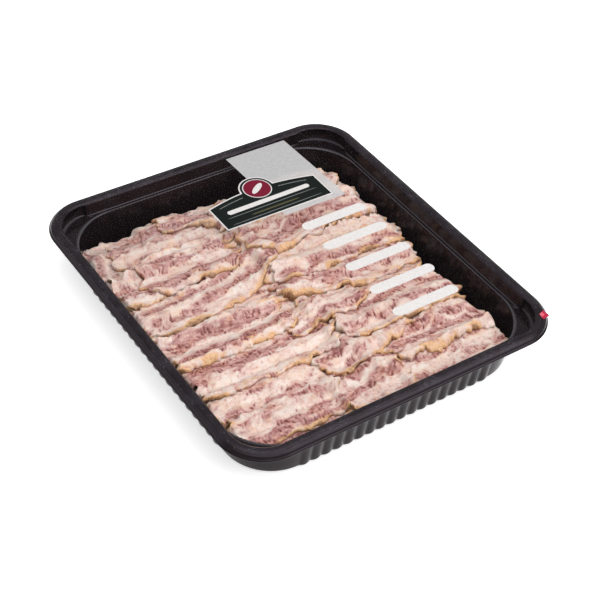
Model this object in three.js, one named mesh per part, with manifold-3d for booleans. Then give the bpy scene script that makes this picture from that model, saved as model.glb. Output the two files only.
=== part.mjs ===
// A sealed retail tray of precooked streaky bacon, in millimetres, +Z up.
// The origin is under the middle of the tray, on the surface that it rests on. The ribbed long front wall faces -Y.
import * as THREE from 'three';
import * as BufferGeometryUtils from 'three/addons/utils/BufferGeometryUtils.js';
import Module from 'manifold-3d';

const wasm = await Module();
wasm.setup();

// Driving dimensions
const FLANGE_X = 265;
const FLANGE_Y = 290.8;
const TRAY_HEIGHT = 42;
const FLANGE_CORNER = 31.6;
const SHEET = 1;
const GAP = 0.3;
const FLUTE_PITCH = 9;
const FLUTE_DEPTH = 2.2;
const FLUTE_DEPTH_AT_LEDGE = 1.2;
const FLUTES_ON_X_WALLS = 20;
const FLUTES_ON_Y_WALLS = 18;
const FLUTE_STEPS = 3;
const SIDE_DRAFT = 1.6;
const FLOOR_INSET = 17.5;
const FLOOR_CORNER = 34;
const RECESS_DEPTH = 2.3;
const RECESS_END_X = 98;
const RECESS_END_Y = 112;
const RECESS_STEP = 0.8;
const FILM_THICKNESS = 0.3;
const FILM_INSET = 1;
const RASHER_THICKNESS = 1.7;
const RASHER_RIPPLE = 0.5;
const BED_HEIGHT = 19.5;
const BED_FALL = 4;
const BED_RIGHT = 104;
const BED_BACK = 110;
const BED_INSET = 19.4;
const BED_CORNER = 36;
const CAVITY_INSET = 15.2;
const CAVITY_CORNER = 41;
const LATTICE_X = 14;
const LATTICE_Y = 9.5;

const CORNER_STEPS = 8;
const FLAT_WITHIN = 0.02;
const SEED = 7;

const COLOURS = {
  tray: 0x2b292d,
  film: 0xe6e9ec,
  bed: 0xb58a7c,
  rasher: [0xd9a79b, 0xe3bfae, 0xc98f86, 0xe9cfbd],
};

const group = new THREE.Group();

// A seeded draw between -1 and 1
let state = SEED;
function draw() {
  state = (state * 1664525 + 1013904223) % 4294967296;
  return (state / 4294967296) * 2 - 1;
}

function addMesh(name, geometry, colour, roughness, opacity = 1) {
  const material = new THREE.MeshStandardMaterial({
    color: colour,
    roughness,
    metalness: 0,
    opacity,
    transparent: opacity < 1,
  });
  const mesh = new THREE.Mesh(geometry, material);
  mesh.name = name;
  group.add(mesh);
}

// Solids for joins and cuts
function toSolid(geometry) {
  const bare = geometry.clone();
  bare.deleteAttribute('normal');
  bare.deleteAttribute('uv');
  const merged = BufferGeometryUtils.mergeVertices(bare, 1e-4);
  return new wasm.Manifold(
    new wasm.Mesh({
      numProp: 3,
      vertProperties: Float32Array.from(merged.attributes.position.array),
      triVerts: Uint32Array.from(merged.index.array),
    }),
  );
}

function toGeometry(solid) {
  const cut = solid.asOriginal().simplify(FLAT_WITHIN).getMesh();
  const geometry = new THREE.BufferGeometry();
  geometry.setAttribute('position', new THREE.BufferAttribute(cut.vertProperties, 3));
  geometry.setIndex(new THREE.BufferAttribute(cut.triVerts, 1));
  geometry.computeVertexNormals();
  return geometry;
}

function prism(points, bottom, top) {
  const shape = new THREE.Shape(points);
  const geometry = new THREE.ExtrudeGeometry(shape, { depth: top - bottom, bevelEnabled: false });
  geometry.translate(0, 0, bottom);
  return geometry;
}

// One level loop of the tray, inset from the flange's edge, counter-clockwise from the middle of a corner.
// A recess steps its corners outward, and flutes bulge from its straight stretches.
function trayLoop({ inset, z, corner, draft = 0, recess = 0, flute = 0 }) {
  const halfX = FLANGE_X / 2 - inset - draft;
  const halfY = FLANGE_Y / 2 - inset;
  const walls = [
    { angle: 0, half: halfY, reach: halfX, end: RECESS_END_Y, flutes: FLUTES_ON_X_WALLS },
    { angle: 90, half: halfX, reach: halfY, end: RECESS_END_X, flutes: FLUTES_ON_Y_WALLS },
    { angle: 180, half: halfY, reach: halfX, end: RECESS_END_Y, flutes: FLUTES_ON_X_WALLS },
    { angle: 270, half: halfX, reach: halfY, end: RECESS_END_X, flutes: FLUTES_ON_Y_WALLS },
  ];
  const points = [];
  for (const wall of walls) {
    const turn = THREE.MathUtils.degToRad(wall.angle);
    const place = (along, out) =>
      points.push(
        new THREE.Vector3(
          out * Math.cos(turn) - along * Math.sin(turn),
          out * Math.sin(turn) + along * Math.cos(turn),
          z,
        ),
      );
    if (flute > 0) {
      const count = wall.flutes * FLUTE_STEPS;
      for (let i = 0; i <= count; i += 1) {
        const along = (i / FLUTE_STEPS - wall.flutes / 2) * FLUTE_PITCH;
        const crest = Math.abs(Math.sin((Math.PI * i) / FLUTE_STEPS));
        place(along, wall.reach + flute * crest);
      }
    } else {
      const end = Math.min(wall.end, wall.half - corner - RECESS_STEP);
      place(-end, wall.reach + recess);
      place(-end + RECESS_STEP, wall.reach);
      place(end - RECESS_STEP, wall.reach);
      place(end, wall.reach + recess);
    }
    for (let i = 0; i <= CORNER_STEPS; i += 1) {
      const bend = (i / CORNER_STEPS) * (Math.PI / 2);
      const side = corner + recess;
      place(wall.half - corner + side * Math.sin(bend), wall.reach - corner + side * Math.cos(bend));
    }
  }
  return points;
}

// Triangles between two loops, matched point by point where they have as many, or else by their angle round the tray
function stitch(triangles, lower, upper) {
  const turnOf = (p) => Math.atan2(p.y / FLANGE_Y, p.x / FLANGE_X);
  const unroll = (loop) => {
    if (lower.length === upper.length) return [...loop.keys(), loop.length];
    const turns = [];
    let last = turnOf(loop[0]);
    for (const p of [...loop, loop[0]]) {
      let turn = turnOf(p);
      while (turn < last - Math.PI) turn += 2 * Math.PI;
      while (turn > last + Math.PI) turn -= 2 * Math.PI;
      turns.push(turn);
      last = turn;
    }
    return turns;
  };
  const a = unroll(lower);
  const b = unroll(upper);
  let i = 0;
  let j = 0;
  while (i < lower.length || j < upper.length) {
    const lowerNext = lower[(i + 1) % lower.length];
    const upperNext = upper[(j + 1) % upper.length];
    const onLower = i < lower.length && (j >= upper.length || a[i + 1] <= b[j + 1]);
    const p = lower[i % lower.length];
    const q = upper[j % upper.length];
    if (onLower) {
      triangles.push(p, q, lowerNext);
      i += 1;
    } else {
      triangles.push(p, q, upperNext);
      j += 1;
    }
  }
}

// The tray is one closed thermoformed sheet, from the middle of its floor up the inside, over the rim and back underneath
function traySheet() {
  const top = TRAY_HEIGHT;
  const under = top - SHEET;
  const inside = [
    { inset: FLOOR_INSET, z: SHEET, corner: FLOOR_CORNER, draft: SIDE_DRAFT },
    { inset: 15.2, z: 3.2, corner: 35.5, draft: SIDE_DRAFT, flute: FLUTE_DEPTH },
    { inset: 11.8, z: 28.4, corner: 39, draft: 0.2, flute: FLUTE_DEPTH_AT_LEDGE },
    { inset: 11, z: 30.3, corner: 45 },
    { inset: 8.3, z: 31, corner: 23.4, recess: RECESS_DEPTH },
    { inset: 7.6, z: 40.3, corner: 24, recess: RECESS_DEPTH },
    { inset: 7.5, z: 41, corner: 24.1 },
    { inset: 5.8, z: top, corner: 25.8 },
  ];
  const rim = [
    { inset: 0.4, z: top, corner: 31.2 },
    { inset: 0, z: top - 0.4, corner: FLANGE_CORNER },
    { inset: -1.5, z: top - 1.6, corner: 33.1 },
    { inset: -3, z: top - 4.05, corner: 34.6 },
    { inset: -2, z: top - 4.05, corner: 33.6 },
    { inset: -0.6, z: top - 2, corner: 32.2 },
    { inset: 0.9, z: under, corner: 30.7 },
  ];
  const outside = [
    { inset: 6.4, z: under, corner: 25.2, recess: RECESS_DEPTH },
    { inset: 7.2, z: 30, corner: 24.5, recess: RECESS_DEPTH },
    { inset: 9.9, z: 29.3, corner: 46 },
    { inset: 10.7, z: 27.4, corner: 40, draft: 0.2, flute: FLUTE_DEPTH_AT_LEDGE },
    { inset: 13.9, z: 2.4, corner: 36.5, draft: SIDE_DRAFT, flute: FLUTE_DEPTH },
    { inset: 14.8, z: 0.7, corner: 35.5, draft: SIDE_DRAFT, flute: FLUTE_DEPTH },
    { inset: 17, z: 0, corner: 34.5, draft: SIDE_DRAFT },
  ];
  const loops = [...inside, ...rim, ...outside].map(trayLoop);
  const triangles = [];
  for (let k = 0; k + 1 < loops.length; k += 1) stitch(triangles, loops[k], loops[k + 1]);
  const first = loops[0];
  const last = loops[loops.length - 1];
  const floorTop = new THREE.Vector3(0, 0, SHEET);
  const floorUnder = new THREE.Vector3(0, 0, 0);
  first.forEach((p, i) => triangles.push(floorTop, p, first[(i + 1) % first.length]));
  last.forEach((p, i) => triangles.push(floorUnder, last[(i + 1) % last.length], p));
  return toSolid(new THREE.BufferGeometry().setFromPoints(triangles));
}

// The sheet is kept as a floor and four walls that meet at mitres in the corners, each a simple solid
function trayPieces() {
  const sheet = traySheet();
  const floorEdge = trayLoop({ inset: FLOOR_INSET, z: 0, corner: FLOOR_CORNER, draft: SIDE_DRAFT });
  const underFloor = toSolid(prism(floorEdge, -SHEET, TRAY_HEIGHT));
  const walls = sheet.subtract(underFloor);
  const mitre = (FLANGE_Y - FLANGE_X) / 2;
  const far = FLANGE_Y;
  const sectors = {
    front: [[0, -mitre], [-far, -mitre - far], [far, -mitre - far]],
    right: [[0, -mitre], [far, -mitre - far], [far, mitre + far], [0, mitre]],
    back: [[0, mitre], [far, mitre + far], [-far, mitre + far]],
    left: [[0, mitre], [-far, mitre + far], [-far, -mitre - far], [0, -mitre]],
  };
  const pieces = { tray_floor: toGeometry(sheet.intersect(underFloor)) };
  for (const [side, corners] of Object.entries(sectors)) {
    const sector = toSolid(prism(corners.map(([x, y]) => new THREE.Vector2(x, y)), -SHEET, 2 * TRAY_HEIGHT));
    pieces[`tray_${side}_wall`] = toGeometry(walls.intersect(sector));
  }
  return pieces;
}

// The lidding film lies on the flange and shuts the tray
function filmGeometry() {
  const outline = trayLoop({ inset: FILM_INSET, z: 0, corner: FLANGE_CORNER - FILM_INSET });
  const bottom = TRAY_HEIGHT + GAP;
  return prism(outline, bottom, bottom + FILM_THICKNESS);
}

// The pile of bacon is built up on a lattice of heights. Each rasher lies on what is under it and raises the lattice,
// so that no later one can pass through it.
const columns = Math.ceil(FLANGE_X / LATTICE_X) + 1;
const rows = Math.ceil(FLANGE_Y / LATTICE_Y) + 1;
const latticeX = (i) => (i - (columns - 1) / 2) * LATTICE_X;
const latticeY = (j) => (j - (rows - 1) / 2) * LATTICE_Y;
const columnOf = (x) => Math.floor(x / LATTICE_X + (columns - 1) / 2);
const rowOf = (y) => Math.floor(y / LATTICE_Y + (rows - 1) / 2);

// The under layers are a low mound that falls away beside the open right and back walls
function bedTop(x, y) {
  const fallWidth = 40;
  const toRight = Math.max(0, (x - BED_RIGHT) / fallWidth + 0.85);
  const toBack = Math.max(0, (y - BED_BACK) / fallWidth + 0.8);
  return BED_HEIGHT - BED_FALL * (Math.min(1, toRight * toRight) + Math.min(1, toBack * toBack));
}

const heights = [];
for (let i = 0; i < columns; i += 1) {
  heights.push([]);
  for (let j = 0; j < rows; j += 1) heights[i].push(bedTop(latticeX(i), latticeY(j)));
}

// A closed slab over a patch of the lattice, between a lower and an upper height at each crossing
function slab([i0, i1, j0, j1], lower, upper) {
  const triangles = [];
  const at = (i, j, height) => new THREE.Vector3(latticeX(i), latticeY(j), height(i, j));
  const quad = (a, b, c, d) => triangles.push(a, b, c, a, c, d);
  for (let i = i0; i < i1; i += 1) {
    for (let j = j0; j < j1; j += 1) {
      quad(at(i, j, upper), at(i + 1, j, upper), at(i + 1, j + 1, upper), at(i, j + 1, upper));
      quad(at(i, j, lower), at(i, j + 1, lower), at(i + 1, j + 1, lower), at(i + 1, j, lower));
    }
  }
  for (let i = i0; i < i1; i += 1) {
    quad(at(i, j0, lower), at(i + 1, j0, lower), at(i + 1, j0, upper), at(i, j0, upper));
    quad(at(i + 1, j1, lower), at(i, j1, lower), at(i, j1, upper), at(i + 1, j1, upper));
  }
  for (let j = j0; j < j1; j += 1) {
    quad(at(i0, j + 1, lower), at(i0, j, lower), at(i0, j, upper), at(i0, j + 1, upper));
    quad(at(i1, j, lower), at(i1, j + 1, lower), at(i1, j + 1, upper), at(i1, j, upper));
  }
  return toSolid(new THREE.BufferGeometry().setFromPoints(triangles));
}

// The room inside the tray's walls, as an upright prism
function cavity(inset, corner) {
  return toSolid(prism(trayLoop({ inset, z: 0, corner, draft: GAP }), 0, TRAY_HEIGHT));
}

// The under layers end in ragged steps along the open right and back sides
function bedGeometry() {
  const step = 13;
  const raggedness = 3.5;
  const outline = [new THREE.Vector2(-FLANGE_X, -FLANGE_Y), new THREE.Vector2(BED_RIGHT, -FLANGE_Y)];
  for (let y = -FLANGE_Y / 2; y < BED_BACK - step; y += step) {
    outline.push(new THREE.Vector2(BED_RIGHT + raggedness * draw(), y));
  }
  for (let x = BED_RIGHT - step; x > -FLANGE_X / 2; x -= step) {
    outline.push(new THREE.Vector2(x, BED_BACK + raggedness * draw()));
  }
  outline.push(new THREE.Vector2(-FLANGE_X, BED_BACK));
  const whole = slab([0, columns - 1, 0, rows - 1], () => SHEET + GAP, (i, j) => heights[i][j]);
  const ragged = toSolid(prism(outline, 0, TRAY_HEIGHT));
  return toGeometry(whole.intersect(ragged).intersect(cavity(BED_INSET, BED_CORNER)));
}

// Each rasher from the lowest to the highest: left end x, y, right end x, y, width, and how far its middle bows to +Y
const rashers = [
  [58, 30, 114, 34, 30, 0],
  [55, 55, 111, 58, 30, 2],
  [50, 82, 113, 84, 28, -2],
  [40, 98, 110, 99, 26, 3],
  [38, 109, 102, 113, 20, 3],
  [-68, 110, -30, 113, 18, 3],
  [-105, -121, -36, -119, 18, 0],
  [14, -116, 107, -113, 32, -2],
  [-36, -110, 20, -112, 38, 0],
  [22, -92, 108, -90, 36, 3],
  [-118, -84, -28, -82, 36, 0],
  [-116, -109, -31, -107, 32, 0],
  [-30, -85, 48, -66, 30, 2],
  [3, -56, 110, -53, 38, 4],
  [-118, -54, -4, -54, 40, 2],
  [-30, -36, 40, -28, 26, 0],
  [-118, -21, -17, -19, 38, 0],
  [-13, 10, 110, -5, 38, -5],
  [-6, 24, 112, 21, 36, 0],
  [-118, 17, 8, 44, 36, -9],
  [-109, 112, -111, 60, 36, 0],
  [-102, 84, -6, 80, 36, 16],
  [-52, 110, 0, 94, 30, 5],
  [-12, 90, 101, 93, 38, 3],
  [-118, 50, -84, 52, 34, 0],
  [-95, 58, -16, 56, 42, 4],
  [-8, 55, 107, 57, 38, 2],
];

// A place on a rasher, from -1 to 1 along it and across it
function onRasher([x0, y0, x1, y1, width, bow], along, across) {
  const length = Math.hypot(x1 - x0, y1 - y0);
  const dx = (x1 - x0) / length;
  const dy = (y1 - y0) / length;
  const forward = (along * length) / 2;
  const side = (across * width) / 2 + bow * (1 - along * along);
  return new THREE.Vector2((x0 + x1) / 2 + forward * dx - side * dy, (y0 + y1) / 2 + forward * dy + side * dx);
}

// The outline has slightly wavy long edges and ragged ends with round corners
function rasherOutline(rasher) {
  const edgeSteps = 6;
  const wave = 0.06;
  const points = [];
  for (const end of [1, -1]) {
    for (const across of [-0.84, -0.28, 0.28, 0.84]) {
      const corner = Math.abs(across) > 0.5 ? 0.96 : 1;
      points.push(onRasher(rasher, end * (corner + 0.025 * draw()), end * across));
    }
    for (let i = 0; i <= edgeSteps; i += 1) {
      const along = end * (0.92 - (1.84 * i) / edgeSteps);
      points.push(onRasher(rasher, along, end * (1 + wave * draw())));
    }
  }
  return points;
}

// The lattice crossings round every cell that the rasher touches
function footprint(rasher) {
  const touched = new Set();
  const reach = 1.08;
  const steps = 60;
  for (let a = 0; a <= steps; a += 1) {
    for (let b = 0; b <= steps; b += 1) {
      const p = onRasher(rasher, reach * ((2 * a) / steps - 1), reach * ((2 * b) / steps - 1));
      for (const i of [columnOf(p.x), columnOf(p.x) + 1]) {
        for (const j of [rowOf(p.y), rowOf(p.y) + 1]) {
          if (i >= 0 && i < columns && j >= 0 && j < rows) touched.add(i * rows + j);
        }
      }
    }
  }
  return [...touched];
}

const inTray = cavity(CAVITY_INSET, CAVITY_CORNER);

function rasherGeometry(rasher) {
  const touched = footprint(rasher);
  const is = touched.map((key) => Math.floor(key / rows));
  const js = touched.map((key) => key % rows);
  const patch = [Math.min(...is), Math.max(...is), Math.min(...js), Math.max(...js)];
  const thickness = new Map();
  touched.forEach((key) => thickness.set(key, RASHER_THICKNESS + RASHER_RIPPLE * draw()));
  const lower = (i, j) => heights[i][j] + GAP;
  const upper = (i, j) => lower(i, j) + (thickness.get(i * rows + j) ?? RASHER_THICKNESS);
  const lying = slab(patch, lower, upper);
  const outline = toSolid(prism(rasherOutline(rasher), 0, TRAY_HEIGHT));
  const solid = lying.intersect(outline).intersect(inTray);
  for (const key of touched) {
    const i = Math.floor(key / rows);
    const j = key % rows;
    heights[i][j] = upper(i, j);
  }
  return toGeometry(solid);
}

for (const [name, geometry] of Object.entries(trayPieces())) addMesh(name, geometry, COLOURS.tray, 0.45);
addMesh('rasher_bed', bedGeometry(), COLOURS.bed, 0.6);
rashers.forEach((rasher, n) => {
  const name = `rasher_${String(n + 1).padStart(2, '0')}`;
  addMesh(name, rasherGeometry(rasher), COLOURS.rasher[n % COLOURS.rasher.length], 0.55);
});
addMesh('film', filmGeometry(), COLOURS.film, 0.1, 0.2);

export default group;
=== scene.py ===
# A sealed black tray of cooked streaky bacon under a clear printed film, dressed over its CAD frame.
# The tray comes first, then the bed of bacon, the rashers one on another, the film, its print and the stage.
# Sizes are in millimetres until a vertex is placed, and +Z is up out of the film.
import math

import bmesh
import bpy
import numpy as np
from mathutils import Matrix, Vector


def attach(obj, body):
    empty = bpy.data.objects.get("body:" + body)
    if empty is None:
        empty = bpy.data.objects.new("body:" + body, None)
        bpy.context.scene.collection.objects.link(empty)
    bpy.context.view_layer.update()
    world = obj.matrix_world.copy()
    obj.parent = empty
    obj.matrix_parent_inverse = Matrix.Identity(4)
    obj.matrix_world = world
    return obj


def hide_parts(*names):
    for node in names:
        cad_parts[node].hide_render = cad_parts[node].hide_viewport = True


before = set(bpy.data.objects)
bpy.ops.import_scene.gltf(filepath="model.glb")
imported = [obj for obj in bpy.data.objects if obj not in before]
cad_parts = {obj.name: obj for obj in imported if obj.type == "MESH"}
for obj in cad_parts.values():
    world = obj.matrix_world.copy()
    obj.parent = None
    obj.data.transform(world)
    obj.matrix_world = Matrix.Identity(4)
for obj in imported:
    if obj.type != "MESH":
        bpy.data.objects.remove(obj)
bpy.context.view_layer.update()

MM = 0.001
MM_PER_CM = 10

# The tray
# One sheet of black plastic, thermoformed over a fluted mould, with a flat flange that the film is sealed to.
# The flutes bulge outwards below a narrow ledge, the corners step out above it, and the lip is turned down.
HALF_X = 132.5
HALF_Y = 145.4
FLUTE_PITCH = 9.0
RECESS_STEP = 0.8
POINTS_PER_FLUTE = 8
POINTS_PER_CORNER = 60
SERRATION_PITCH = 3.0
SERRATION_DEPTH = 0.28
LEDGE_INSET = 9.5
LEDGE_HEIGHT = 30.3
LEDGE_REACH = 0.9

# Each for the right and left walls, and for the front and back ones
WALL_FLUTES = (20, 18)
RECESS_STARTS = (112, 98)

# Each bend of the sheet: its inset from the flange's edge, height, corner radius, side draft, corner recess
# and flute depth
INSIDE_BENDS = [
    (17.5, 1.0, 34.0, 1.6, 0.0, 0.0),
    (15.2, 3.2, 35.5, 1.6, 0.0, 0.9),
    (13.5, 15.8, 37.2, 0.9, 0.0, 0.7),
    (11.8, 28.4, 39.0, 0.2, 0.0, 0.4),
    (11.0, 30.8, 45.0, 0.0, 0.0, 0.0),
    (8.3, 31.0, 23.4, 0.0, 2.3, 0.0),
    (7.9, 36.0, 23.7, 0.0, 2.3, 0.0),
    (7.6, 40.0, 24.0, 0.0, 2.3, 0.0),
    (7.5, 41.0, 24.1, 0.0, 0.0, 0.0),
    (5.8, 42.0, 25.8, 0.0, 0.0, 0.0),
]
LIP_BENDS = [
    (0.5, 42.0, 31.1, 0.0, 0.0, 0.0),
    (0.0, 41.5, 31.6, 0.0, 0.0, 0.0),
    (-1.2, 40.9, 32.8, 0.0, 0.0, 0.0),
    (-1.6, 39.6, 33.2, 0.0, 0.0, 0.0),
    (-2.6, 39.2, 34.2, 0.0, 0.0, 0.0),
    (-3.0, 37.95, 34.6, 0.0, 0.0, 0.0),
    (-2.2, 37.95, 33.8, 0.0, 0.0, 0.0),
    (-0.6, 40.0, 32.2, 0.0, 0.0, 0.0),
    (0.9, 41.0, 30.7, 0.0, 0.0, 0.0),
]
OUTSIDE_BENDS = [
    (6.4, 41.0, 25.2, 0.0, 2.3, 0.0),
    (7.2, 30.0, 24.5, 0.0, 2.3, 0.0),
    (9.9, 29.3, 46.0, 0.0, 0.0, 0.0),
    (10.5, 27.4, 40.0, 0.2, 0.0, 0.4),
    (12.0, 14.9, 38.2, 0.9, 0.0, 1.0),
    (13.5, 2.4, 36.5, 1.6, 0.0, 1.5),
    (14.4, 0.7, 35.5, 1.6, 0.0, 1.5),
    (17.0, 0.0, 34.5, 1.6, 0.0, 0.0),
]


def eased(bends, radius=0.45, longest=6.0):
    """The bends with each corner of the profile cut twice and each long stretch between two divided."""
    rows = [np.array(bend) for bend in bends]
    for cut in (radius, radius * 0.45):
        softer = [rows[0]]
        for before, here, after in zip(rows, rows[1:], rows[2:]):
            for other in (before, after):
                span = math.hypot(*(other - here)[:2])
                softer.append(here + (other - here) * min(0.4, cut / span))
        rows = softer + [rows[-1]]
    divided = [rows[0]]
    for before, here in zip(rows, rows[1:]):
        steps = max(1, math.ceil(math.hypot(*(here - before)[:2]) / longest))
        divided += [before + (here - before) * step / steps for step in range(1, steps + 1)]
    return divided


def along_path(path, count):
    """That many places evenly spaced along a path of points, with its first place and without its last."""
    path = np.array(path)
    lengths = np.concatenate([[0], np.cumsum(np.hypot(*np.diff(path, axis=0).T))])
    wanted = np.linspace(0, lengths[-1], count, endpoint=False)
    return np.stack([np.interp(wanted, lengths, path[:, 0]), np.interp(wanted, lengths, path[:, 1])], axis=1)


def tray_ring(inset, height, corner, draft, recess, flute):
    """One level ring round the tray, counter-clockwise from the front end of its right wall."""
    half_x = HALF_X - inset - draft
    half_y = HALF_Y - inset
    ring = []
    for side in range(4):
        on_x_wall = side % 2 == 0
        half, reach = (half_y, half_x) if on_x_wall else (half_x, half_y)
        flutes, next_flutes = WALL_FLUTES if on_x_wall else WALL_FLUTES[::-1]
        jog, next_jog = RECESS_STARTS if on_x_wall else RECESS_STARTS[::-1]
        jog = min(jog, half - corner - RECESS_STEP)
        next_jog = min(next_jog, reach - corner - RECESS_STEP)
        fluted = min(flutes * FLUTE_PITCH / 2, half - corner)
        next_fluted = min(next_flutes * FLUTE_PITCH / 2, reach - corner)
        phase = np.arange(flutes * POINTS_PER_FLUTE) / POINTS_PER_FLUTE
        straight = np.stack(
            [(phase / flutes * 2 - 1) * fluted, reach + flute * np.abs(np.sin(np.pi * phase))], axis=1
        )
        path = [(fluted, reach)]
        if recess > 0:
            path += [(jog - RECESS_STEP, reach), (jog, reach + recess)]
        radius = corner + recess
        for bend in np.linspace(0, math.pi / 2, 33):
            path.append((half - corner + radius * math.sin(bend), reach - corner + radius * math.cos(bend)))
        if recess > 0:
            path += [(half + recess, next_jog), (half, next_jog - RECESS_STEP)]
        path.append((half, next_fluted))
        turned = np.concatenate([straight, along_path(path, POINTS_PER_CORNER)])
        turn = side * math.pi / 2
        x = turned[:, 1] * math.cos(turn) - turned[:, 0] * math.sin(turn)
        y = turned[:, 1] * math.sin(turn) + turned[:, 0] * math.cos(turn)
        ring.append(np.stack([x, y, np.full(len(x), height)], axis=1))
    return np.concatenate(ring)


def new_piece(name, bm):
    """A linked object with the bmesh's shape as its mesh."""
    mesh = bpy.data.meshes.new(name)
    bm.to_mesh(mesh)
    bm.free()
    piece = bpy.data.objects.new(name, mesh)
    bpy.context.scene.collection.objects.link(piece)
    return piece


def skin(name, rings):
    """A closed skin through rings of as many points each: a circle, whose edges are extruded ring by ring.

    Its map runs in centimetres, round the rings and along the profile."""
    bm = bmesh.new()
    count = len(rings[0])
    around = bmesh.ops.create_circle(bm, segments=count, radius=1.0)["verts"]
    place = {}
    profile = 0.0
    for number, ring in enumerate(rings):
        if number:
            edges = [bm.edges.get((around[i], around[(i + 1) % count])) for i in range(count)]
            made = bmesh.ops.extrude_edge_only(bm, edges=edges)["geom"]
            fresh = {v for v in made if isinstance(v, bmesh.types.BMVert)}
            linked = [[edge.other_vert(v) for edge in v.link_edges] for v in around]
            around = [next(v for v in reached if v in fresh) for reached in linked]
            profile += float(np.median(np.linalg.norm(ring - rings[number - 1], axis=1)))
        for i, v in enumerate(around):
            v.co = Vector(ring[i]) * MM
            place[v] = (i, profile)
    ends = [e for e in bm.edges if e.is_boundary]
    bmesh.ops.edgeloop_fill(bm, edges=ends)
    bmesh.ops.recalc_face_normals(bm, faces=bm.faces)
    ring_length = float(np.sum(np.linalg.norm(rings[0] - np.roll(rings[0], 1, axis=0), axis=1)))
    uv = bm.loops.layers.uv.new("surface")
    for face in bm.faces:
        turns = [place[loop.vert][0] for loop in face.loops]
        wraps = len(face.loops) == 4 and max(turns) - min(turns) > count / 2
        for loop, turn in zip(face.loops, turns):
            turn += count if wraps and turn < count / 2 else 0
            loop[uv].uv = (turn / count * ring_length / MM_PER_CM, place[loop.vert][1] / MM_PER_CM)
    piece = new_piece(name, bm)
    piece.data.shade_smooth()
    return piece


tray_rings = []
for bend in eased(INSIDE_BENDS) + eased(LIP_BENDS) + eased(OUTSIDE_BENDS):
    ring = tray_ring(*bend)
    on_ledge = math.exp(-(((bend[1] - LEDGE_HEIGHT) / LEDGE_REACH) ** 2)) * (bend[0] > LEDGE_INSET)
    if on_ledge > 0.01:
        walked = np.cumsum(np.linalg.norm(ring - np.roll(ring, 1, axis=0), axis=1))
        tooth = 1 - SERRATION_DEPTH * on_ledge * np.sin(walked * 2 * np.pi / SERRATION_PITCH) / HALF_X
        ring[:, :2] *= tooth[:, None]
    tray_rings.append(ring)
tray = skin("tray", tray_rings)


def feed(tree, made, inputs):
    """Gives a shader node its inputs, each a value or another node's output."""
    for name, value in inputs.items():
        if isinstance(value, bpy.types.NodeSocket):
            tree.links.new(value, made.inputs[name])
        else:
            made.inputs[name].default_value = value


def node(tree, kind, inputs=None, **settings):
    """A shader node with its settings and its inputs."""
    made = tree.nodes.new(kind)
    for name, value in settings.items():
        setattr(made, name, value)
    feed(tree, made, inputs or {})
    return made


def calc(tree, operation, a, b=0.0, c=0.0):
    """The result of one sum on values that change over the surface."""
    return node(tree, "ShaderNodeMath", {0: a, 1: b, 2: c}, operation=operation).outputs[0]


def fade(tree, value, low, high, start=0.0, end=1.0):
    """A value eased from start to end while the given one goes from low to high."""
    eased_range = {"Value": value, "From Min": low, "From Max": high, "To Min": start, "To Max": end}
    return node(tree, "ShaderNodeMapRange", eased_range, interpolation_type="SMOOTHSTEP").outputs[0]


def blend(tree, mask, a, b, how="MIX"):
    """Colour a where the mask is 0, and b, mixed in the given way, where it is 1."""
    return node(tree, "ShaderNodeMix", {0: mask, 6: a, 7: b}, data_type="RGBA", blend_type=how).outputs[2]


def lumps(tree, places, scale, detail=2.0, roughness=0.5, distortion=0.0):
    """An even noise of about that many lumps to a unit of the map."""
    inputs = {"Vector": places, "Scale": scale, "Detail": detail, "Roughness": roughness}
    return node(tree, "ShaderNodeTexNoise", inputs | {"Distortion": distortion}).outputs["Fac"]


def stretched(tree, places, scale):
    """The map's places, scaled apart along each axis."""
    return node(tree, "ShaderNodeMapping", {"Vector": places, "Scale": scale}).outputs["Vector"]


def new_finish(name):
    """A new material with its node tree and its Principled shader."""
    material = bpy.data.materials.new(name)
    material.use_nodes = True
    return material, material.node_tree, material.node_tree.nodes["Principled BSDF"]


def fine_dust():
    """The dust and scuffs that plastic and film pick up: a mask of specks and a mask of fine scratches."""
    group = bpy.data.node_groups.new("fine_dust", "ShaderNodeTree")
    sockets = [("Places", "INPUT", "Vector"), ("Amount", "INPUT", "Float")]
    for name, way, kind in sockets + [("Specks", "OUTPUT", "Float"), ("Scuffs", "OUTPUT", "Float")]:
        group.interface.new_socket(name, in_out=way, socket_type="NodeSocket" + kind)
    given = node(group, "NodeGroupInput")
    cells = node(group, "ShaderNodeTexVoronoi", {"Vector": given.outputs["Places"], "Scale": 9.0})
    size = calc(group, "MULTIPLY", given.outputs["Amount"], 0.16)
    near = calc(group, "LESS_THAN", cells.outputs["Distance"], size)
    chance = node(group, "ShaderNodeSeparateColor", {"Color": cells.outputs["Color"]}).outputs["Red"]
    chosen = calc(group, "GREATER_THAN", chance, 0.9)
    specks = calc(group, "MULTIPLY", near, chosen)
    streaks = lumps(group, stretched(group, given.outputs["Places"], (1.5, 14.0, 14.0)), 2.0, 4.0, 0.7)
    patches = lumps(group, given.outputs["Places"], 0.5, 3.0, 0.6)
    scuffs = calc(group, "MULTIPLY", fade(group, streaks, 0.5, 0.72), fade(group, patches, 0.42, 0.66))
    scuffs = calc(group, "MULTIPLY", scuffs, given.outputs["Amount"])
    node(group, "NodeGroupOutput", {"Specks": specks, "Scuffs": scuffs})
    return group


# Heights on the finished tray, in metres: where the dusty flange begins, and the two thin lines along the
# ledge that are lightened as painted highlights
FLANGE_FROM, FLANGE_TO = 0.0405, 0.0418
LEDGE_HIGHLIGHTS = (0.03055, 0.03125)
LEDGE_HIGHLIGHT_CORE, LEDGE_HIGHLIGHT_EDGE = 0.0001, 0.0003

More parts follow.
